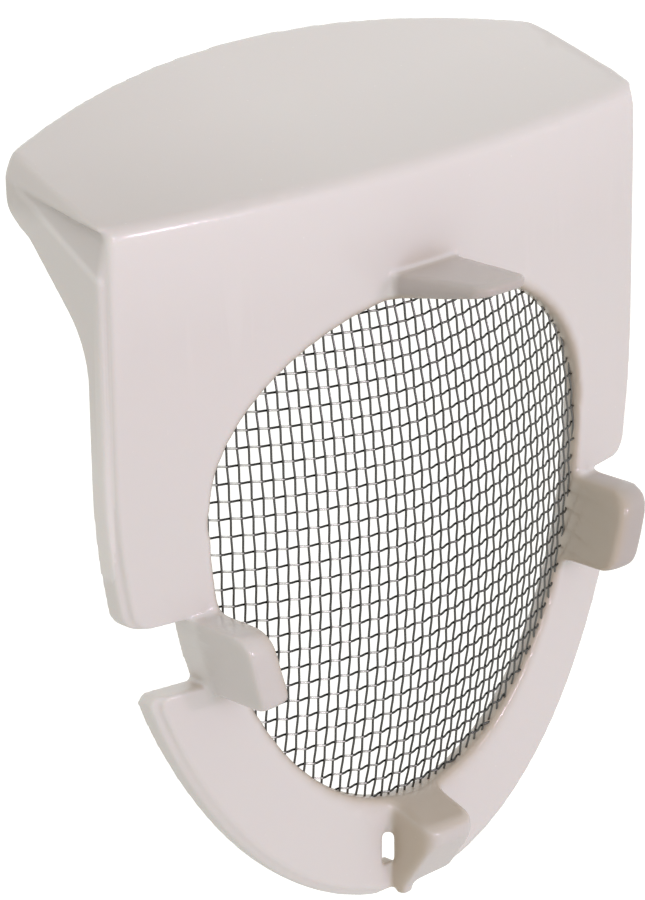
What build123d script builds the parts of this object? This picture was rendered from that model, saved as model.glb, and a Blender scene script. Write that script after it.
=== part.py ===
from build123d import *
import math
import os

# Kettle limescale filter: a moulded frame that clips into the spout, with a woven wire screen.
# Millimetres. +X to the right, +Y back into the kettle, +Z up. The origin is on the crown of the
# frame's front face, level with the widest part of the screen.

# Opening for the screen: half ellipses above and below its widest level
opening_half_width = 19.9
opening_rise = 13.1
opening_drop = 27.6

# Front plate, a shallow barrel about an upright axis
plate_bow_radius = 130.0
plate_thickness = 2.0
plate_side_margin = 7.9
plate_top_margin = 10.1
plate_bottom_margin = 7.6
side_straight_end_z = 5.0
brow_round = 1.3

# Hood, the roof that slopes up and back from the plate's top edge
hood_thickness = 1.8
hood_slope_deg = 19.0
hood_corner_y = 13.6
hood_rear_bulge = 5.1
hood_inner_round = 1.0
hood_bevel_slope = 1.3

# Rim, a step that stands proud round the plate's edge
rim_step = 0.6
rim_setback = 0.4
rim_thickness = 2.0

# Cheeks, where the rim sweeps back to the hood's corners, with a three-cornered pocket in each
cheek_heel_drop = 8.8
cheek_heel_round = 8.0
cheek_end_height = 3.9
cheek_end_round = 1.2
cheek_lobe_run = 2.6
cheek_lobe_fall = 1.6
pocket_depth = 1.0
pocket_lip = 0.5
pocket_ridge_drop = 3.8
pocket_front_drop = 0.3
pocket_end_inset = 1.3
pocket_end_drop = 1.9
pocket_bevel_gap = 0.3

# Clip tabs round the opening, and the notches that free them
collar_thickness = 2.9
side_tab_z = -10.4
side_tab_height = 6.4
side_tab_reach = 4.2
side_tab_upper_round = 1.9
side_tab_lower_round = 1.0
side_notch_height = 5.6
side_notch_upper_round = 1.7
side_notch_lower_round = 0.8
top_tab_x = 0.6
top_tab_width = 7.4
top_tab_tip_width = 5.2
top_tab_thickness = 2.1
top_tab_tip_thickness = 0.9
top_tab_tip_lift = 1.6
top_tab_reach = 8.5
top_tab_corner_round = 1.5
bottom_tab_x = -0.6
bottom_tab_width = 5.2
bottom_tab_root = 2.3
bottom_tab_reach = 4.2
bottom_tab_fall = 1.4
bottom_tab_nose = 1.2
bottom_tab_corner_round = 1.2
bottom_lip_thickness = 1.3
bottom_lip_setback = 0.0
bottom_lip_short = 0.8
bottom_notch_gap = 0.9
stub_width = 1.3
stub_depth = 1.0
stub_height = 1.0

# Screen, bowed forward both ways, with its edge moulded into the frame
screen_crown_y = -1.6
screen_bow_across = 3.7
screen_bow_upright = 2.4
screen_thickness = 0.5
wire_depth = 0.22
wire_width = 0.7
wire_pitch_across = 3.1
wire_pitch_upright = 4.6
seat_depth = 0.7
seat_clearance = 0.05

# Working sizes
plate_half_width = opening_half_width + plate_side_margin
plate_top_z = opening_rise + plate_top_margin
plate_bottom_z = -opening_drop - plate_bottom_margin
opening_middle_z = (opening_rise - opening_drop) / 2
rim_half_width = plate_half_width + rim_step
side_notch_z = side_tab_z + (side_tab_height - side_notch_height) / 2
screen_half_width = opening_half_width + seat_depth
screen_half_height = (opening_rise + opening_drop) / 2 + seat_depth
screen_radius_across = (screen_half_width**2 + screen_bow_across**2) / (2 * screen_bow_across)
screen_radius_upright = (screen_half_height**2 + screen_bow_upright**2) / (2 * screen_bow_upright)
hood_slope = math.tan(math.radians(hood_slope_deg))
hood_rear_y = hood_corner_y + hood_rear_bulge
plate_axis = Axis((0, plate_bow_radius, 0), (0, 0, 1))

# Past every edge before cutting, and the most of a wall that a round may take
beyond = 100.0
overshoot = 1.3
round_share = 0.45


def bow_y(x):
    """Depth of the plate's front face at a distance from its middle."""
    return plate_bow_radius - math.sqrt(plate_bow_radius**2 - x**2)


def hood_z(x, y):
    """Height of the hood's top."""
    return plate_top_z + hood_slope * (plate_bow_radius - math.hypot(x, plate_bow_radius - y))


hood_corner_z = hood_z(rim_half_width, hood_corner_y)
rim_front_y = bow_y(rim_half_width) + rim_setback


def upper_half():
    return Rectangle(beyond, beyond, align=(Align.CENTER, Align.MIN))


def lower_half():
    return Rectangle(beyond, beyond, align=(Align.CENTER, Align.MAX))


def opening_outline(grow):
    """The egg of the opening, grown outwards."""
    half_width = opening_half_width + grow
    upper = Ellipse(half_width, opening_rise + grow) & upper_half()
    lower = Ellipse(half_width, opening_drop + grow) & lower_half()
    return upper + lower


def plate_outline(grow):
    """The shield of the plate: straight sides, then half an ellipse."""
    half_width = plate_half_width + grow
    drop = side_straight_end_z - plate_bottom_z + grow
    sides = Rectangle(2 * half_width, beyond, align=(Align.CENTER, Align.MIN))
    return Pos(0, side_straight_end_z) * (sides + (Ellipse(half_width, drop) & lower_half()))


def notched_outline(grow):
    """The shield with both side notches, which run in to the collar and have rounded outer corners."""
    cut = Pos(0, side_notch_z) * Rectangle(beyond, side_notch_height) - opening_outline(collar_thickness)
    outline = plate_outline(grow) - cut
    beside_cut = outline.vertices().filter_by(lambda v: abs(v.Y - side_notch_z) < side_notch_height)
    corners = beside_cut.filter_by(lambda v: abs(v.X) > opening_half_width + collar_thickness)
    outline = fillet(corners.filter_by(lambda v: v.Y > side_notch_z), side_notch_upper_round)
    lower = outline.vertices().group_by(lambda v: abs(v.Y - side_notch_z + side_notch_height / 2))[0]
    return fillet(lower.group_by(lambda v: -abs(v.X))[0], side_notch_lower_round)


def through(outline):
    """A prism along Y with a front outline."""
    return extrude(Plane.XZ * outline, amount=beyond, both=True)


def across(profile, middle_x, width):
    """A prism along X of a side profile."""
    return extrude(Plane.YZ.offset(middle_x) * profile, amount=width / 2, both=True)


def swept(profile, axis, half_angle):
    """A side profile turned about an upright axis, as far to the left as to the right."""
    turned = revolve(Plane.YZ * profile, axis, revolution_arc=2 * half_angle)
    return turned.rotate(axis, -half_angle)


def plate_sweep(profile):
    half_angle = overshoot * math.degrees(math.asin(rim_half_width / plate_bow_radius))
    return swept(profile, plate_axis, half_angle)


def corner(profile, y, z):
    return profile.vertices().sort_by_distance((y, z, 0))[0]


def rear_bow():
    """The hood's rear edge, an arc through its corners and its middle."""
    radius = (rim_half_width**2 + hood_rear_bulge**2) / (2 * hood_rear_bulge)
    return Pos(0, hood_rear_y - radius, 0) * Cylinder(radius, 2 * beyond)


def plate_and_hood():
    """Plate and hood in one sweep with a rounded brow, cut to the shield, the cheeks and the rear bow."""
    low_z = plate_bottom_z - plate_thickness
    back_y = hood_rear_y + hood_thickness
    back_z = plate_top_z + hood_slope * back_y
    inner_z = plate_top_z + hood_slope * plate_thickness - hood_thickness
    profile = make_face(Polyline(
        (0, low_z), (0, plate_top_z), (back_y, back_z), (back_y, back_z - hood_thickness),
        (plate_thickness, inner_z), (plate_thickness, low_z), close=True))
    profile = fillet(corner(profile, 0, plate_top_z), brow_round)
    profile = fillet(corner(profile, plate_thickness, inner_z), hood_inner_round)
    hood_room = Pos(0, rim_front_y, plate_top_z - pocket_ridge_drop) * Box(
        2 * rim_half_width, beyond, beyond, align=(Align.CENTER, Align.MIN, Align.MIN))
    return plate_sweep(profile) & (through(notched_outline(0)) + hood_room) & rear_bow()


def rim():
    """The step round the plate's edge, up to the pockets."""
    low_z = plate_bottom_z - plate_thickness
    high_z = plate_top_z - pocket_ridge_drop
    profile = make_face(Polyline(
        (rim_setback, low_z), (rim_setback, high_z), (plate_thickness, high_z),
        (plate_thickness, low_z), close=True))
    return plate_sweep(profile) & through(notched_outline(rim_step) - plate_outline(-rim_thickness))


def cheek(side):
    """One end wall of the hood, from the plate's side back to the hood's corner."""
    heel_y = bow_y(rim_half_width) + plate_thickness
    heel_z = plate_top_z - cheek_heel_drop
    foot_z = heel_z - cheek_heel_round
    end_z = hood_corner_z - cheek_end_height
    profile = make_face(Polyline(
        (rim_front_y, plate_top_z - hood_thickness / 2), (hood_corner_y, hood_corner_z - hood_thickness / 2),
        (hood_corner_y, end_z), (hood_corner_y - cheek_lobe_run, end_z - cheek_lobe_fall),
        (heel_y, heel_z), (heel_y, foot_z), (rim_front_y, foot_z), close=True))
    profile = fillet(corner(profile, heel_y, heel_z), cheek_heel_round)
    profile = fillet(corner(profile, hood_corner_y, end_z), cheek_end_round)
    return across(profile, side * (rim_half_width - rim_thickness / 2), rim_thickness)


def pocket(side):
    """The recess below one end of the hood, running out at the ridge, and the bevel along that end."""
    front_y = bow_y(plate_half_width) + pocket_lip
    front_z = plate_top_z - pocket_front_drop
    end_y = hood_corner_y - pocket_end_inset
    end_z = hood_corner_z - pocket_end_drop
    ridge_z = plate_top_z - pocket_ridge_drop
    profile = make_face(Polyline((front_y, ridge_z), (front_y, front_z), (end_y, end_z), close=True))
    recess = across(profile, side * rim_half_width, 2 * pocket_depth)
    ridge = Vector(0, end_y - front_y, end_z - ridge_z)
    slant = Vector(-side * pocket_depth, 0, front_z - ridge_z)
    floor = Plane(origin=(side * rim_half_width, front_y, ridge_z), x_dir=ridge, z_dir=ridge.cross(slant) * side)
    recess &= floor * Box(beyond, beyond, beyond, align=(Align.CENTER, Align.CENTER, Align.MIN))
    run = end_y - front_y
    rise = end_z - front_z
    bevel = Plane(
        origin=(side * rim_half_width, front_y, front_z + pocket_bevel_gap),
        x_dir=(0, run, rise), z_dir=(side * hood_bevel_slope * run, -rise, run))
    return recess + bevel * Box(beyond, beyond, beyond, align=(Align.CENTER, Align.CENTER, Align.MIN))


def bottom_notch():
    """A cut from below in to the collar, round the bottom tab."""
    width = bottom_tab_width + 2 * bottom_notch_gap
    cut = Pos(bottom_tab_x, 0) * Rectangle(width, beyond, align=(Align.CENTER, Align.MAX))
    return through(cut - opening_outline(collar_thickness))


def side_tab(side):
    """One side tab: a length of the collar carried forward, with its front corners rounded."""
    half_height = side_tab_height / 2
    back_y = bow_y(opening_half_width) + plate_thickness / 2
    profile = make_face(Polyline(
        (-side_tab_reach, side_tab_z - half_height), (-side_tab_reach, side_tab_z + half_height),
        (back_y, side_tab_z + half_height), (back_y, side_tab_z - half_height), close=True))
    upper = corner(profile, -side_tab_reach, side_tab_z + half_height)
    profile = fillet(upper, side_tab_upper_round)
    lower = corner(profile, -side_tab_reach, side_tab_z - half_height)
    profile = fillet(lower, side_tab_lower_round)
    collar = through(opening_outline(collar_thickness) - opening_outline(0))
    return across(profile, side * beyond / 2, beyond) & collar


def plan(outline):
    """A prism along Z with an outline seen from above."""
    return extrude(outline, amount=beyond, both=True)


def top_tab():
    """A tongue at the top of the opening, thinner and narrower to its rounded tip."""
    root_y = plate_thickness / 2
    tip_z = opening_rise + top_tab_tip_lift
    profile = make_face(Polyline(
        (root_y, opening_rise), (0, opening_rise), (-top_tab_reach, tip_z),
        (-top_tab_reach, tip_z + top_tab_tip_thickness), (0, opening_rise + top_tab_thickness),
        (root_y, opening_rise + top_tab_thickness), close=True))
    tongue = make_face(Polyline(
        (-top_tab_width / 2, root_y), (top_tab_width / 2, root_y),
        (top_tab_tip_width / 2, -top_tab_reach), (-top_tab_tip_width / 2, -top_tab_reach), close=True))
    tip_corners = tongue.vertices().group_by(Axis.Y)[0]
    tongue = fillet(tip_corners, min(top_tab_corner_round, round_share * top_tab_tip_width))
    return Pos(top_tab_x, 0, 0) * (across(profile, 0, beyond) & plan(tongue))


def bottom_tab():
    """A hook at the foot of the opening, with a lip that hangs before the notch."""
    top_z = -opening_drop
    nose_z = top_z - bottom_tab_fall
    root_z = top_z - bottom_tab_root
    low_z = plate_bottom_z + bottom_lip_short
    back_y = plate_thickness / 2
    lip_front_y = bottom_lip_setback - bottom_lip_thickness
    profile = make_face(Polyline(
        (back_y, top_z), (0, top_z),
        (-bottom_tab_reach, nose_z), (-bottom_tab_reach, nose_z - bottom_tab_nose),
        (lip_front_y, low_z), (bottom_lip_setback, low_z),
        (bottom_lip_setback, root_z), (back_y, root_z), close=True))
    profile = fillet(profile.vertices().group_by(Axis.X)[0], round_share * bottom_tab_nose)
    outline = make_face(Polyline(
        (-bottom_tab_width / 2, back_y), (bottom_tab_width / 2, back_y),
        (bottom_tab_width / 2, -bottom_tab_reach), (-bottom_tab_width / 2, -bottom_tab_reach), close=True))
    nose_corners = outline.vertices().group_by(Axis.Y)[0]
    outline = fillet(nose_corners, min(bottom_tab_corner_round, round_share * bottom_tab_width))
    hook = across(profile, 0, beyond) & plan(outline)
    stub_x = (stub_width - bottom_tab_width) / 2
    stub_y = bottom_lip_setback - bottom_lip_thickness / 2
    hook += Pos(stub_x, stub_y, low_z) * Box(stub_width, stub_depth, 2 * stub_height)
    return Pos(bottom_tab_x, 0, 0) * hook


def screen_layer(near, far):
    """A bowed sheet between two depths behind the screen's front, past the opening's edge."""
    tilt = overshoot * math.degrees(math.asin(screen_half_height / screen_radius_upright))
    turn = overshoot * math.degrees(math.asin(screen_half_width / screen_radius_across))
    centre = (screen_crown_y + screen_radius_upright, opening_middle_z)
    front = CenterArc(centre, screen_radius_upright - near, 180 - tilt, 2 * tilt)
    back = CenterArc(centre, screen_radius_upright - far, 180 - tilt, 2 * tilt)
    profile = make_face([front, Line(front @ 1, back @ 1), back, Line(back @ 0, front @ 0)])
    axis = Axis((0, screen_crown_y + screen_radius_across, 0), (0, 0, 1))
    return swept(profile, axis, turn)


def bar_places(span, pitch):
    """Middles of evenly spaced bars across a span."""
    count = int(span / pitch)
    return [(i - count / 2) * pitch for i in range(count + 1)]


def screen():
    """Upright wires in front of level ones, joined where they cross, in a solid edge."""
    upright_bar = Rectangle(wire_width, beyond)
    level_bar = Pos(0, opening_middle_z) * Rectangle(beyond, wire_width)
    columns = bar_places(2 * opening_half_width, wire_pitch_across)
    rows = bar_places(opening_rise + opening_drop, wire_pitch_upright)
    uprights = Sketch() + [Pos(x, 0) * upright_bar for x in columns]
    levels = Sketch() + [Pos(0, z) * level_bar for z in rows]
    wall = screen_layer(0, screen_thickness) & through(opening_outline(seat_depth))
    front_slots = screen_layer(-screen_thickness, screen_thickness - wire_depth)
    back_slots = screen_layer(wire_depth, 2 * screen_thickness)
    wall -= front_slots & through(opening_outline(0) - uprights)
    return wall - (back_slots & through(opening_outline(0) - levels))


def frame():
    """The whole moulding, with the groove that holds the screen's edge."""
    body = plate_and_hood() + rim()
    for side in (-1, 1):
        body += cheek(side)
        body -= pocket(side)
    body -= through(opening_outline(0))
    body -= bottom_notch()
    for side in (-1, 1):
        body += side_tab(side)
    body += top_tab() + bottom_tab()
    groove = screen_layer(-seat_clearance, screen_thickness + seat_clearance)
    return body - (groove & through(opening_outline(seat_depth + seat_clearance)))


os.makedirs("parts", exist_ok=True)
export_step(frame(), "parts/filter_frame.step")
export_step(screen(), "parts/mesh_screen.step")
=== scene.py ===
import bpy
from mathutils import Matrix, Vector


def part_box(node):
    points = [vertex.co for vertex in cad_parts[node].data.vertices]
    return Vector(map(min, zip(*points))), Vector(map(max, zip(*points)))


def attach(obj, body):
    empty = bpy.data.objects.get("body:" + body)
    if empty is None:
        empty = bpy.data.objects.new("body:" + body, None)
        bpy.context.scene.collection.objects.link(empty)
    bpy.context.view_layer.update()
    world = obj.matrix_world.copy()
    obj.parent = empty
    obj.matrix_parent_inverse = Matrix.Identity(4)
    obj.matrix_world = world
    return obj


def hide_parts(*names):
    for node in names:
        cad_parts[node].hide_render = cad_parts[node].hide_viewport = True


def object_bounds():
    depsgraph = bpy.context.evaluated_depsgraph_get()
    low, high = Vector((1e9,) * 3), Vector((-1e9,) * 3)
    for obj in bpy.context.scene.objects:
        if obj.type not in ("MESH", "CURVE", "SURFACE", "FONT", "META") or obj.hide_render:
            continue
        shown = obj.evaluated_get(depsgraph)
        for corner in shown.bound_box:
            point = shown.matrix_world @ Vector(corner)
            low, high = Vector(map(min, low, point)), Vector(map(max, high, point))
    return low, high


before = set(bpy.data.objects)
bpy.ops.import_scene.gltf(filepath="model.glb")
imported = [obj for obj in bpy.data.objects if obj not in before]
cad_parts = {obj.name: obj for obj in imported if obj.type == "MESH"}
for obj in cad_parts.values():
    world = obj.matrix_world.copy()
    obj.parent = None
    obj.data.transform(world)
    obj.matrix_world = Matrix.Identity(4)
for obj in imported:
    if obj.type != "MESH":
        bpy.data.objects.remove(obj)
cadBox = [list(corner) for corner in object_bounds()]

import math
import bmesh
import bpy
from mathutils import Matrix, Vector

mm = 0.001
scene = bpy.context.scene
scene.view_settings.view_transform = 'Standard'
print("frame loaded:", sorted(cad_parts))


# small helpers

def addObject(name, mesh):
    piece = bpy.data.objects.new(name, mesh)
    scene.collection.objects.link(piece)
    return piece


def newMaterial(name):
    material = bpy.data.materials.new(name)
    material.use_nodes = True
    tree = material.node_tree
    return material, tree, tree.nodes["Principled BSDF"]


def addNode(tree, kind, **settings):
    node = tree.nodes.new(kind)
    for key, value in settings.items():
        setattr(node, key, value)
    return node


# what several finishes share: a slow cloud, a fine grain, and masks of edges and recesses, for painted
# highlights on edges and painted shade in recesses

noiseForm = {
    "inputs": (("Cloud Scale", 60.0), ("Grain Scale", 900.0), ("Recess Reach", 4 * mm)),
    "cloudDetail": 2.0,
    "grainDetail": 4.0,
    "edgeFlat": 0.46,                    # pointiness where an edge starts to show, and where it is full
    "edgeSharp": 0.54,
    "recessOpen": 0.70,                  # the same for the light that reaches a recess
    "recessClosed": 0.35,
}


def buildSurfaceNoise(form):
    group = bpy.data.node_groups.new("surfaceNoise", 'ShaderNodeTree')
    face = group.interface
    for name, value in form["inputs"]:
        socket = face.new_socket(name=name, in_out='INPUT', socket_type='NodeSocketFloat')
        socket.default_value = value
    for name in ("Cloud", "Grain", "Edge", "Recess"):
        face.new_socket(name=name, in_out='OUTPUT', socket_type='NodeSocketFloat')
    given = group.nodes.new('NodeGroupInput')
    result = group.nodes.new('NodeGroupOutput')
    place = group.nodes.new('ShaderNodeTexCoord')
    for name, detail in (("Cloud", form["cloudDetail"]), ("Grain", form["grainDetail"])):
        noise = group.nodes.new('ShaderNodeTexNoise')
        noise.inputs["Detail"].default_value = detail
        group.links.new(place.outputs["Object"], noise.inputs["Vector"])
        group.links.new(given.outputs[name + " Scale"], noise.inputs["Scale"])
        group.links.new(noise.outputs["Fac"], result.inputs[name])
    shape = group.nodes.new('ShaderNodeNewGeometry')
    ramp = group.nodes.new('ShaderNodeMapRange')
    ramp.inputs["From Min"].default_value = form["edgeFlat"]
    ramp.inputs["From Max"].default_value = form["edgeSharp"]
    group.links.new(shape.outputs["Pointiness"], ramp.inputs["Value"])
    group.links.new(ramp.outputs["Result"], result.inputs["Edge"])
    # ambient occlusion as a mask for painted shade in recesses
    shade = group.nodes.new('ShaderNodeAmbientOcclusion')
    shade.only_local = True
    group.links.new(given.outputs["Recess Reach"], shade.inputs["Distance"])
    depth = group.nodes.new('ShaderNodeMapRange')
    depth.inputs["From Min"].default_value = form["recessOpen"]
    depth.inputs["From Max"].default_value = form["recessClosed"]
    group.links.new(shade.outputs["AO"], depth.inputs["Value"])
    group.links.new(depth.outputs["Result"], result.inputs["Recess"])
    return group


surfaceNoise = buildSurfaceNoise(noiseForm)


def placeNoise(tree, look):
    node = tree.nodes.new('ShaderNodeGroup')
    node.node_tree = surfaceNoise
    node.inputs["Cloud Scale"].default_value = look["cloudScale"]
    node.inputs["Grain Scale"].default_value = look["grainScale"]
    node.inputs["Recess Reach"].default_value = look["recessReach"]
    return node


def mixColours(tree, factor, first, second):
    mix = addNode(tree, 'ShaderNodeMix', data_type='RGBA')
    for socket, colour in ((mix.inputs[6], first), (mix.inputs[7], second)):   # the colour sockets A and B
        if isinstance(colour, tuple):
            socket.default_value = (*colour, 1)
        else:
            tree.links.new(colour, socket)
    tree.links.new(factor, mix.inputs[0])
    return mix.outputs[2]


def strongerOf(tree, first, second):
    larger = addNode(tree, 'ShaderNodeMath', operation='MAXIMUM')
    tree.links.new(first, larger.inputs[0])
    tree.links.new(second, larger.inputs[1])
    return larger.outputs[0]


def readShare(tree, name):
    return addNode(tree, 'ShaderNodeAttribute', attribute_name=name).outputs["Fac"]


def spread(tree, value, low, high):
    ramp = addNode(tree, 'ShaderNodeMapRange')
    ramp.inputs["To Min"].default_value = low
    ramp.inputs["To Max"].default_value = high
    tree.links.new(value, ramp.inputs["Value"])
    return ramp.outputs["Result"]


# moulded plastic of the frame

plasticLook = {
    "warm": (0.79, 0.742, 0.735),
    "cool": (0.77, 0.748, 0.735),
    "paintedHighlightColour": (0.86, 0.825, 0.82),     # painted highlight: paler edges, pocket ridges, brow and side rims
    "edgeShare": 0.25,
    "tab": (0.54, 0.495, 0.475),         # painted shade: greyer tone on the tabs, the pockets and the hood's top and ends
    "shaded": (0.56, 0.48, 0.39),        # painted shade, warmer where light only gets in by way of the plastic: recesses, the opening's wall, the hook's left face
    "recessReach": 5.0 * mm,
    "cloudScale": 45.0,                  # per metre
    "grainScale": 2600.0,
    "roughLow": 0.20,
    "roughHigh": 0.30,
    "bumpDepth": 0.006 * mm,
    "glow": 0.25,                        # share of light that soaks in
    "glowReach": 1.2 * mm,
    "glowColours": (1.0, 0.75, 0.55),    # red reaches furthest
    "refraction": 1.49,
    "polish": 0.3,                       # the mould's polish, as a coat
    "polishRough": 0.09,
}


def makePlastic(look):
    material, tree, skin = newMaterial("mouldedPlastic")
    noise = placeNoise(tree, look)
    cloud = mixColours(tree, noise.outputs["Cloud"], look["warm"], look["cool"])
    # painted highlight: paler on pointy edges, the pocket ridges, the brow and the side rims
    edge = spread(tree, noise.outputs["Edge"], 0, look["edgeShare"])
    paintedHighlight = strongerOf(tree, edge, readShare(tree, "paintedHighlight"))
    lit = mixColours(tree, paintedHighlight, cloud, look["paintedHighlightColour"])
    # painted shade: greyer on the tabs, in the pockets and on the hood's top and ends
    toned = mixColours(tree, readShare(tree, "thin"), lit, look["tab"])
    # painted shade: darker and warmer in recesses, on the opening's wall and on the hook's left face
    paintedShade = strongerOf(tree, noise.outputs["Recess"], readShare(tree, "paintedShade"))
    colour = mixColours(tree, paintedShade, toned, look["shaded"])
    tree.links.new(colour, skin.inputs["Base Color"])
    rough = spread(tree, noise.outputs["Grain"], look["roughLow"], look["roughHigh"])
    tree.links.new(rough, skin.inputs["Roughness"])
    bump = addNode(tree, 'ShaderNodeBump')
    bump.inputs["Distance"].default_value = look["bumpDepth"]
    tree.links.new(noise.outputs["Grain"], bump.inputs["Height"])
    tree.links.new(bump.outputs["Normal"], skin.inputs["Normal"])
    skin.inputs["Subsurface Weight"].default_value = look["glow"]
    skin.inputs["Subsurface Radius"].default_value = look["glowColours"]
    skin.inputs["Subsurface Scale"].default_value = look["glowReach"]
    skin.inputs["IOR"].default_value = look["refraction"]
    skin.inputs["Coat Weight"].default_value = look["polish"]
    skin.inputs["Coat Roughness"].default_value = look["polishRough"]
    return material


# the bowed sheet that the wires follow, from the screen's own box

screenLow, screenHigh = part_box("mesh_screen")
edgeHeld = 0.70 * mm                     # how far the screen reaches into the frame
riseAcross = 3.7 * mm                    # how far the sheet bows forward from its edges
riseUpright = 2.4 * mm


def bowRadius(half, bow):
    return (half**2 + bow**2) / (2 * bow)


sheet = {
    "halfWidth": screenHigh.x - edgeHeld,
    "rise": screenHigh.z - edgeHeld,
    "drop": -screenLow.z - edgeHeld,
    "front": screenLow.y,
    "thickness": 0.50 * mm,
    "bowAcross": bowRadius(screenHigh.x, riseAcross),
    "bowUpright": bowRadius((screenHigh.z - screenLow.z) / 2, riseUpright),
}


def sheetRadius(s, z):
    middle = (s["rise"] - s["drop"]) / 2
    lean = math.asin((z - middle) / s["bowUpright"])
    return s["bowAcross"] - s["bowUpright"] * (1 - math.cos(lean)), lean


def sheetDepth(s, x, z):
    radius, _ = sheetRadius(s, z)
    return s["front"] + s["bowAcross"] - math.sqrt(radius**2 - x**2) + s["thickness"] / 2


def sheetPoint(s, x, z):
    radius, lean = sheetRadius(s, z)
    turn = x / s["bowAcross"]
    out = Vector((math.sin(turn) * math.cos(lean), -math.cos(turn) * math.cos(lean), math.sin(lean)))
    across = radius * math.sin(turn)
    return Vector((across, sheetDepth(s, across, z), z)), out


# the frame's moulded form with its edges softened

shellForm = {
    "voxel": 0.14 * mm,
    "smoothing": 0.5,
    "smoothPasses": 16,
    "softPasses": 530,                   # for the places that are softer than the rest, by their shares
    "softLevels": 50,
    "kept": 0.25,                        # share of the faces that stays
    "plateBow": 130.0 * mm,
    "tabStart": 0.2 * mm,                # how far before the plate a tab counts as one
    "tabFull": 0.8 * mm,
    "tabSoft": 0.10,
    # painted shade on the tabs, as a greyer tone
    "tabGrey": 1.0,
    "lowTabGrey": 0.38,                  # less of it on the left tab and the hook
    "lowTabTop": -5.0 * mm,
    "lowTabRight": 8.0 * mm,
    "hookDeep": 1.00,                    # the hook's left face lies in the slit's shade
    "hookLeft": -3.2 * mm,
    "hookTop": -26.0 * mm,
    "hookReach": 1.6 * mm,
    "edgeReach": 1.8 * mm,               # round the edge of the opening
    "edgeSoft": 0.28,
    "edgeSlope": 1.6,                    # full well before the edge itself
    "rimStart": 12.0 * mm,               # depth where the hood's rear rim starts
    "rimFade": 1.5 * mm,
    "rimSoft": 0.18,
    "browLow": 19.0 * mm,                # the round front edge of the hood
    "browDeep": 5.5 * mm,
    "browHalf": 28.6 * mm,
    "browFade": 1.4 * mm,
    "browSoft": 0.08,
    "browPale": 0.9,                     # painted highlight below the edge, running out down the plate
    "paleLow": 13.0 * mm,
    "browTop": 22.3 * mm,
    "browLine": 0.6 * mm,
    "topGrey": 0.22,                     # painted shade: the hood's top is greyer towards the front and the left
    "topReach": 10.0 * mm,
    "leftGrey": 0.26,
    "leftStart": 6.0 * mm,
    "leftReach": 18.0 * mm,
    "upGain": 2.0,                       # only on what faces up
    "upCut": 0.7,
    "cornerStart": 26.2 * mm,            # the hood's front corners
    "cornerDeep": 2.6 * mm,
    "cornerLow": 21.4 * mm,
    "cornerFade": 1.0 * mm,
    "cornerSoft": 0.20,
    "endStart": 26.0 * mm,               # painted shade: the bevels along the hood's ends are greyer
    "endLow": 22.6 * mm,
    "endGrey": 0.36,
    "sideRimStart": 27.8 * mm,           # painted light: the thin rim below the cheeks is paler
    "sideRimTop": 11.0 * mm,
    "sideRimFade": 6.0 * mm,
    "lowRimTop": -16.0 * mm,             # the rim's step runs out towards the bottom
    "lowRimFade": 6.0 * mm,
    "lowRimSoft": 0.16,
    "lowRimInset": 4.5 * mm,
    "wallDeep": 0.85,                    # warm shade on the wall of the opening
    "wallReach": 0.80 * mm,
    "wallFade": 1.0 * mm,
    "wallSpill": 0.10,                   # and a little on the plate beside it, low on the right
    "wallFacing": 1.6,                   # full before a face looks straight into the opening
    "wallBehind": 0.0,                   # less of it behind the screen
    "bedSteps": 160,
    "bedSides": 10,
    "bedDepth": 0.42 * mm,               # half the size of the bead that beds the wires in
    "bedHeight": 0.48 * mm,
    "webMiddle": (-3.55 * mm, 0.70 * mm, -33.85 * mm),   # closes the lower end of the slit at the hook
    "webSize": (1.5 * mm, 1.2 * mm, 2.3 * mm),
}

# three-cornered pocket below each end of the hood: depths and heights of its ridge and its crease, with
# painted shade in it and a painted highlight on its ridge
pocketForm = {
    "front": 3.4 * mm,
    "end": 12.3 * mm,
    "ridgeFront": 19.4 * mm,
    "ridgeEnd": 24.8 * mm,
    "creaseFront": 22.9 * mm,
    "inside": 26.8 * mm,
    "grey": 0.35,
    "greyAtCrease": 0.25,
    "greyFade": 0.60 * mm,
    "ridgeHalf": 0.40 * mm,
    "ridgePale": 0.8,
    "ridgeCore": 1.3,
    "frontFade": 0.06,                   # shares of the pocket's length
    "endFade": 0.15,
}


def clampUnit(value):
    return max(0.0, min(1.0, value))


def behindPlate(form, point):
    return point.y - form["plateBow"] + math.sqrt(form["plateBow"]**2 - point.x**2)


def fromOpening(s, point):
    height = s["rise"] if point.z > 0 else s["drop"]
    return abs(math.hypot(point.x / s["halfWidth"], point.z / height) - 1) * s["halfWidth"]


def tabShare(form, point):
    ahead = -behindPlate(form, point) - form["tabStart"]
    return clampUnit(ahead / (form["tabFull"] - form["tabStart"]))


# painted shade: a greyer tone on what stands out before the plate
def tabPaintedShade(form, point):
    low = point.z < form["lowTabTop"] and point.x < form["lowTabRight"]
    return tabShare(form, point) * (form["lowTabGrey"] if low else form["tabGrey"])


def hookShade(form, point, normal):
    beside = clampUnit(1 - abs(point.x - form["hookLeft"]) / form["hookReach"])
    below = 1.0 if point.z < form["hookTop"] else 0.0
    return form["hookDeep"] * beside * below * clampUnit(-normal.x)


def browShare(form, point):
    high = clampUnit((point.z - form["browLow"]) / form["browFade"])
    near = clampUnit((form["browDeep"] - behindPlate(form, point)) / form["browFade"])
    between = clampUnit((form["browHalf"] - abs(point.x)) / form["browFade"])
    return high * near * between


def aboveBrow(form, point):
    return clampUnit((point.z - form["browTop"]) / form["browLine"])


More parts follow.
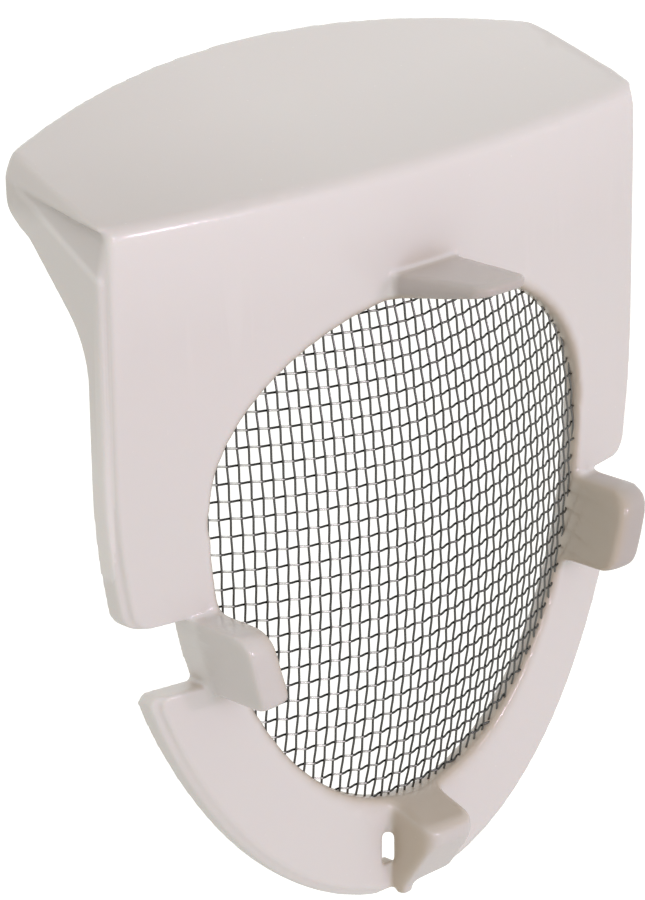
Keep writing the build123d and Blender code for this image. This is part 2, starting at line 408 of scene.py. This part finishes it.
# painted highlight on the brow, running out down the plate
def browPaintedHighlight(form, point):
    down = clampUnit((point.z - form["paleLow"]) / (form["browTop"] - form["paleLow"]))
    near = clampUnit((form["browDeep"] - behindPlate(form, point)) / form["browFade"])
    between = clampUnit((form["browHalf"] - abs(point.x)) / form["browFade"])
    return form["browPale"] * down * near * between * (1 - aboveBrow(form, point))


# painted shade on the hood's top, only where it faces up
def topPaintedShade(form, point, normal):
    front = form["topGrey"] * clampUnit(1 - behindPlate(form, point) / form["topReach"])
    left = form["leftGrey"] * clampUnit((-point.x - form["leftStart"]) / form["leftReach"])
    up = clampUnit(form["upGain"] * normal.z - form["upCut"])
    return (front + left) * aboveBrow(form, point) * up


def cornerShare(form, point):
    outer = clampUnit((abs(point.x) - form["cornerStart"]) / form["cornerFade"])
    near = clampUnit((form["cornerDeep"] - behindPlate(form, point)) / form["cornerFade"])
    return outer * near * clampUnit((point.z - form["cornerLow"]) / form["cornerFade"])


# painted shade along the hood's ends
def endPaintedShade(form, point):
    outer = clampUnit((abs(point.x) - form["endStart"]) / form["cornerFade"])
    return form["endGrey"] * outer * clampUnit((point.z - form["endLow"]) / form["cornerFade"])


# painted light on the thin rim below the cheeks
def sideRimPaintedLight(form, point):
    below = clampUnit((form["sideRimTop"] - point.z) / form["sideRimFade"])
    return below if abs(point.x) > form["sideRimStart"] else 0.0


def softShare(form, s, point):
    nearEdge = form["edgeSlope"] - form["edgeSlope"] * fromOpening(s, point) / form["edgeReach"]
    edge = form["edgeSoft"] * clampUnit(nearEdge)
    rim = form["rimSoft"] * clampUnit((point.y - form["rimStart"]) / form["rimFade"])
    low = clampUnit((form["lowRimTop"] - point.z) / form["lowRimFade"])
    outside = clampUnit(fromOpening(s, point) / form["lowRimInset"] - 1)
    lowRim = form["lowRimSoft"] * low * outside
    corner = form["cornerSoft"] * cornerShare(form, point)
    tab = form["tabSoft"] * tabShare(form, point)
    brow = form["browSoft"] * browShare(form, point)
    return max(edge, rim, lowRim, corner, tab, brow)


def pocketPaintedShadeAndHighlight(p, point):
    # painted shade: how grey a point in a pocket is; painted highlight: how pale one on its ridge
    along = (point.y - p["front"]) / (p["end"] - p["front"])
    if abs(point.x) < p["inside"] or not 0 < along < 1:
        return 0.0, 0.0
    ridge = p["ridgeFront"] + along * (p["ridgeEnd"] - p["ridgeFront"])
    crease = p["creaseFront"] + along * (p["ridgeEnd"] - p["creaseFront"])
    up = point.z - ridge
    paintedHighlight = p["ridgePale"] * clampUnit(p["ridgeCore"] - abs(up) / p["ridgeHalf"])
    grey = p["grey"] + p["greyAtCrease"] * clampUnit(up / max(crease - ridge, p["ridgeHalf"]))
    below = clampUnit((crease + p["greyFade"] - point.z) / p["greyFade"])
    ends = clampUnit(along / p["frontFade"]) * clampUnit((1 - along) / p["endFade"])
    return grey * below * ends * clampUnit(up / p["ridgeHalf"]), paintedHighlight


def wallShare(form, s, point, normal):
    height = s["rise"] if point.z > 0 else s["drop"]
    inward = -Vector((point.x / s["halfWidth"]**2, 0, point.z / height**2)).normalized()
    near = clampUnit(1 - (fromOpening(s, point) - form["wallReach"]) / form["wallFade"])
    behind = 0.0
    if near > 0:
        behind = clampUnit((point.y - sheetDepth(s, point.x, point.z)) / form["wallFade"])
    paintedShade = form["wallDeep"] + behind * (form["wallBehind"] - form["wallDeep"])
    spill = form["wallSpill"] * clampUnit((inward.z - inward.x) / math.sqrt(2))
    return paintedShade * near * clampUnit(form["wallFacing"] * normal.dot(inward) + spill)


def addBed(mesh, form, s):
    # a closed bead of plastic that fills the screen's groove, and the web in the slit
    build = bmesh.new()
    build.from_mesh(mesh)
    rings = []
    for i in range(form["bedSteps"]):
        angle = 2 * math.pi * i / form["bedSteps"]
        height = s["rise"] if math.sin(angle) > 0 else s["drop"]
        x = (s["halfWidth"] + form["bedDepth"]) * math.cos(angle)
        z = (height + form["bedDepth"]) * math.sin(angle)
        outward = Vector((x / s["halfWidth"]**2, 0, z / height**2)).normalized()
        middle = Vector((x, sheetDepth(s, x, z), z))
        ring = []
        for k in range(form["bedSides"]):
            turn = 2 * math.pi * k / form["bedSides"]
            reach = form["bedDepth"] * math.cos(turn) * outward
            lift = Vector((0, form["bedHeight"] * math.sin(turn), 0))
            ring.append(build.verts.new(middle + reach + lift))
        rings.append(ring)
    for i, ring in enumerate(rings):
        following = rings[(i + 1) % len(rings)]
        for k in range(form["bedSides"]):
            j = (k + 1) % form["bedSides"]
            build.faces.new((ring[k], ring[j], following[j], following[k]))
    web = Matrix.Translation(form["webMiddle"]) @ Matrix.Diagonal((*form["webSize"], 1))
    bmesh.ops.create_cube(build, size=1, matrix=web)
    bmesh.ops.recalc_face_normals(build, faces=build.faces)
    build.to_mesh(mesh)
    build.free()


def applyModifiers(piece):
    graph = bpy.context.evaluated_depsgraph_get()
    mesh = bpy.data.meshes.new_from_object(piece.evaluated_get(graph))
    piece.modifiers.clear()
    piece.data = mesh
    return mesh


def addSmoothing(piece, form, passes, group=""):
    smooth = piece.modifiers.new("soften", 'SMOOTH')
    smooth.factor = form["smoothing"]
    smooth.iterations = passes
    smooth.vertex_group = group


def softenFrame(form, s):
    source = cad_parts["filter_frame"]
    shell = addObject("frame_shell", source.data.copy())
    shell.data.materials.clear()
    addBed(shell.data, form, s)
    remesh = shell.modifiers.new("voxels", 'REMESH')
    remesh.mode = 'VOXEL'
    remesh.voxel_size = form["voxel"]
    mesh = applyModifiers(shell)
    levels = form["softLevels"]
    softer = shell.vertex_groups.new(name="softer")
    members = [[] for _ in range(levels + 1)]
    for vertex in mesh.vertices:
        members[round(levels * softShare(form, s, vertex.co))].append(vertex.index)
    for level, indices in enumerate(members):
        softer.add(indices, level / levels, 'REPLACE')
    addSmoothing(shell, form, form["smoothPasses"])
    addSmoothing(shell, form, form["softPasses"], "softer")
    thin = shell.modifiers.new("thin", 'DECIMATE')
    thin.ratio = form["kept"]
    mesh = applyModifiers(shell)
    shell.vertex_groups.clear()
    # painted shade and painted highlights, kept on the points for the plastic
    shares = {"thin": [], "paintedHighlight": [], "paintedShade": []}
    for vertex in mesh.vertices:
        grey, ridge = pocketPaintedShadeAndHighlight(pocketForm, vertex.co)
        top = topPaintedShade(form, vertex.co, vertex.normal)
        shares["thin"].append(max(grey, top, tabPaintedShade(form, vertex.co), endPaintedShade(form, vertex.co)))
        shares["paintedHighlight"].append(max(ridge, browPaintedHighlight(form, vertex.co), sideRimPaintedLight(form, vertex.co)))
        hook = hookShade(form, vertex.co, vertex.normal)
        shares["paintedShade"].append(max(hook, wallShare(form, s, vertex.co, vertex.normal)))
    for name, values in shares.items():
        mesh.attributes.new(name, 'FLOAT', 'POINT').data.foreach_set("value", values)
    mesh.shade_smooth()
    return shell


shell = softenFrame(shellForm, sheet)
shell.data.materials.append(makePlastic(plasticLook))
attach(shell, "root")
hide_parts("filter_frame")
print("frame shell:", len(shell.data.polygons), "faces")


# drawn steel wire

wireLook = {
    # painted reflection: the wires' grey runs from dull to bright by their painted shine
    "dull": (0.014, 0.014, 0.013),
    "bright": (0.85, 0.85, 0.82),
    "clouded": (0.10, 0.10, 0.095),
    "cloudShare": 0.25,
    "cloudScale": 700.0,
    "grainScale": 5000.0,
    "recessReach": 0.3 * mm,
    "roughLow": 0.18,
    "roughHigh": 0.30,
}


def makeWire(look):
    material, tree, skin = newMaterial("drawnWire")
    noise = placeNoise(tree, look)
    # painted reflection: grey from dull to bright by the painted shine on the points
    paintedReflection = mixColours(tree, readShare(tree, "paintedShine"), look["dull"], look["bright"])
    share = spread(tree, noise.outputs["Cloud"], 0, look["cloudShare"])
    colour = mixColours(tree, share, paintedReflection, look["clouded"])
    tree.links.new(colour, skin.inputs["Base Color"])
    rough = spread(tree, noise.outputs["Grain"], look["roughLow"], look["roughHigh"])
    tree.links.new(rough, skin.inputs["Roughness"])
    skin.inputs["Metallic"].default_value = 1.0
    return material


# woven screen: every wire, over and under, on the bowed sheet

weave = {
    "pitchAcross": 0.92 * mm,
    "pitchUpright": 1.36 * mm,
    "closing": 0.0028,                   # the rows stand a little closer towards the top
    "sag": 0.11,                         # the rows hang in the middle, where the cloth is pulled over the bow
    "sagRound": 5.0 * mm,
    "sagMiddle": -1.0 * mm,
    "wire": 0.185 * mm,
    "rowCrimp": 1.25,                    # shares of a wire's half width
    "columnCrimp": 0.55,
    "tucked": 0.45 * mm,                 # how far the ends run into the plastic
    "spareRows": 3,
    "sides": 8,
    "stepsPerCell": 4,
    # painted reflection on the wires: base greys for columns and rows
    "columnShine": 0.15,
    "rowShine": 0.045,
    "rightShine": 0.13,                  # painted reflection, more of it towards the right edge
    "paintedRowGlint": 0.95,                 # painted reflection: the rows' forward halves are bright on the left
    "paintedGlintEnd": 4.0 * mm,
    "paintedGlintFade": 14.0 * mm,
}


def clothPoint(s, w, column, row):
    x = column * w["pitchAcross"]
    middle = (s["rise"] - s["drop"]) / 2
    hang = math.hypot(x - w["sagMiddle"], w["sagRound"]) - w["sagRound"]
    z = middle + w["pitchUpright"] * (row - w["closing"] * row**2) + w["sag"] * hang
    return sheetPoint(s, x, z)


# painted reflection: how bright a wire's colour is at each point
def paintedWireShine(s, w, upright, x, facing):
    right = w["rightShine"] * clampUnit(x / s["halfWidth"])
    if upright:
        return w["columnShine"] + right
    glintShare = clampUnit((w["paintedGlintEnd"] - x) / w["paintedGlintFade"]) * clampUnit(facing)
    return w["rowShine"] + right + w["paintedRowGlint"] * glintShare


def insideOpening(s, w, point):
    height = s["rise"] if point.z > 0 else s["drop"]
    across = point.x / (s["halfWidth"] + w["tucked"])
    upright = point.z / (height + w["tucked"])
    return across**2 + upright**2 < 1


def addTube(verts, faces, path, outs, radius, sides):
    start = len(verts)
    count = len(path)
    for i in range(count):
        along = (path[min(i + 1, count - 1)] - path[max(i - 1, 0)]).normalized()
        side = along.cross(outs[i]).normalized()
        top = side.cross(along)
        for k in range(sides):
            angle = 2 * math.pi * k / sides
            verts.append(path[i] + radius * (math.cos(angle) * side + math.sin(angle) * top))
    for i in range(count - 1):
        for k in range(sides):
            a = start + i * sides + k
            b = start + i * sides + (k + 1) % sides
            faces.append((a, b, b + sides, a + sides))
    last = start + (count - 1) * sides
    faces.append(tuple(range(start + sides - 1, start - 1, -1)))
    faces.append(tuple(range(last, last + sides)))


def weaveScreen(s, w):
    verts = []
    faces = []
    shines = []
    columns = int(s["halfWidth"] / w["pitchAcross"]) + 1
    rows = int((s["rise"] + s["drop"]) / 2 / w["pitchUpright"]) + w["spareRows"]
    lift = w["wire"] / 2
    steps = w["stepsPerCell"]
    for upright in (True, False):
        count, span = (columns, rows) if upright else (rows, columns)
        crimp = w["columnCrimp"] if upright else -w["rowCrimp"]
        for n in range(-count, count + 1):
            side = 1 if n % 2 == 0 else -1
            path = []
            outs = []
            glints = []
            for step in range(-span * steps, span * steps + 1):
                t = step / steps
                column, row = (n, t) if upright else (t, n)
                point, out = clothPoint(s, w, column, row)
                if not insideOpening(s, w, point):
                    continue
                path.append(point + out * lift * crimp * side * math.cos(math.pi * t))
                outs.append(out)
                glints.append(paintedWireShine(s, w, upright, point.x, side * math.sin(math.pi * t)))
            if len(path) > 3:
                addTube(verts, faces, path, outs, w["wire"] / 2, w["sides"])
                shines.extend(glint for glint in glints for _ in range(w["sides"]))
    mesh = bpy.data.meshes.new("woven_wires")
    mesh.from_pydata(verts, [], faces)
    mesh.attributes.new("paintedShine", 'FLOAT', 'POINT').data.foreach_set("value", shines)
    mesh.shade_smooth()
    return addObject("woven_wires", mesh)


wires = weaveScreen(sheet, weave)
wires.data.materials.append(makeWire(wireLook))
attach(wires, "root")
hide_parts("mesh_screen")
print("woven wires:", len(wires.data.polygons), "faces")


# pale floor well below the part, white to the camera

stageLook = {
    "floorBelow": 60 * mm,
    "floorHalf": 3.0,
    "floorColour": (0.86, 0.86, 0.85),
    "floorRough": 0.9,
    "floorLift": 0.50,
    "ambient": (1.0, 1.0, 0.94),
    "ambientStrength": 0.70,
}


def makeFloor(look):
    half = look["floorHalf"]
    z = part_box("filter_frame")[0].z - look["floorBelow"]
    mesh = bpy.data.meshes.new("floor")
    corners = [(-half, -half, z), (half, -half, z), (half, half, z), (-half, half, z)]
    mesh.from_pydata(corners, [], [(0, 1, 2, 3)])
    floor = addObject("floor", mesh)
    material, tree, skin = newMaterial("paleFloor")
    skin.inputs["Base Color"].default_value = (*look["floorColour"], 1)
    skin.inputs["Roughness"].default_value = look["floorRough"]
    path = addNode(tree, 'ShaderNodeLightPath')
    seen = addNode(tree, 'ShaderNodeMath', operation='MULTIPLY')
    seen.inputs[1].default_value = look["floorLift"]
    tree.links.new(path.outputs["Is Camera Ray"], seen.inputs[0])
    skin.inputs["Emission Color"].default_value = (1, 1, 1, 1)
    tree.links.new(seen.outputs[0], skin.inputs["Emission Strength"])
    floor.data.materials.append(material)


def makeWorld(look):
    world = bpy.data.worlds.new("studio")
    scene.world = world
    world.use_nodes = True
    tree = world.node_tree
    tree.nodes.clear()
    path = addNode(tree, 'ShaderNodeLightPath')
    seen = addNode(tree, 'ShaderNodeMath', operation='MAXIMUM')
    shown = addNode(tree, 'ShaderNodeMath', operation='MAXIMUM')
    tree.links.new(path.outputs["Is Camera Ray"], seen.inputs[0])
    tree.links.new(path.outputs["Is Glossy Ray"], seen.inputs[1])
    tree.links.new(seen.outputs[0], shown.inputs[0])
    tree.links.new(path.outputs["Is Transmission Ray"], shown.inputs[1])
    white = addNode(tree, 'ShaderNodeBackground')
    soft = addNode(tree, 'ShaderNodeBackground')
    soft.inputs["Color"].default_value = (*look["ambient"], 1)
    soft.inputs["Strength"].default_value = look["ambientStrength"]
    mix = addNode(tree, 'ShaderNodeMixShader')
    tree.links.new(shown.outputs[0], mix.inputs["Fac"])
    tree.links.new(soft.outputs[0], mix.inputs[1])
    tree.links.new(white.outputs[0], mix.inputs[2])
    white.inputs["Color"].default_value = (1, 1, 1, 1)
    result = addNode(tree, 'ShaderNodeOutputWorld')
    tree.links.new(mix.outputs[0], result.inputs["Surface"])


makeFloor(stageLook)
makeWorld(stageLook)
print("floor and world ready")


# soft boxes round the part: place in metres, aimed at the part's middle

frontColour = (1.0, 0.80, 1.0)
softBoxes = [
    {"name": "frontRight", "place": (0.22, -0.71, 0.12), "size": 0.08, "power": 0.65, "colour": frontColour},
    {"name": "frontLeft", "place": (-0.08, -0.73, 0.20), "size": 0.18, "power": 0.55, "colour": frontColour},
    {"name": "overhead", "place": (0.05, -0.10, 0.75), "size": 0.50, "power": 0.1, "colour": (0.9, 1.0, 0.9)},
]


def addSoftBox(box, aim):
    lamp = bpy.data.lights.new(box["name"], 'AREA')
    lamp.size = box["size"]
    lamp.energy = box["power"]
    lamp.color = box["colour"]
    holder = bpy.data.objects.new(box["name"], lamp)
    scene.collection.objects.link(holder)
    holder.location = box["place"]
    holder.rotation_euler = (aim - holder.location).to_track_quat('-Z', 'Y').to_euler()


partMiddle = (Vector(cadBox[0]) + Vector(cadBox[1])) / 2
for box in softBoxes:
    addSoftBox(box, partMiddle)
print("soft boxes:", len(softBoxes))


# camera at the photograph's place

view = {
    "fromLeft": 44.40,           # degrees round from the front
    "fromAbove": 19.79,
    "roll": -0.76,
    "distance": 276.0 * mm,
    "aim": (-10.25 * mm, 0.0, 3.30 * mm),
    "focalPixels": 3753.0,
    "imageHeight": 900.0,
    "sensorHeight": 24.0,
    "nearest": 0.01,
}


def addCamera(v):
    left = math.radians(v["fromLeft"])
    above = math.radians(v["fromAbove"])
    roll = math.radians(v["roll"])
    back = Vector((-math.sin(left) * math.cos(above), -math.cos(left) * math.cos(above), math.sin(above)))
    right = Vector((math.cos(left), -math.sin(left), 0))
    up = back.cross(right)
    rolledRight = math.cos(roll) * right + math.sin(roll) * up
    rolledUp = math.cos(roll) * up - math.sin(roll) * right
    data = bpy.data.cameras.new("photoView")
    data.sensor_fit = 'VERTICAL'
    data.sensor_height = v["sensorHeight"]
    data.lens = v["focalPixels"] / v["imageHeight"] * data.sensor_height
    data.clip_start = v["nearest"]
    camera = bpy.data.objects.new("photoView", data)
    scene.collection.objects.link(camera)
    place = Vector(v["aim"]) + v["distance"] * back
    camera.matrix_world = Matrix((
        (rolledRight.x, rolledUp.x, back.x, place.x),
        (rolledRight.y, rolledUp.y, back.y, place.y),
        (rolledRight.z, rolledUp.z, back.z, place.z),
        (0, 0, 0, 1)))
    scene.camera = camera


addCamera(view)
print("camera ready")
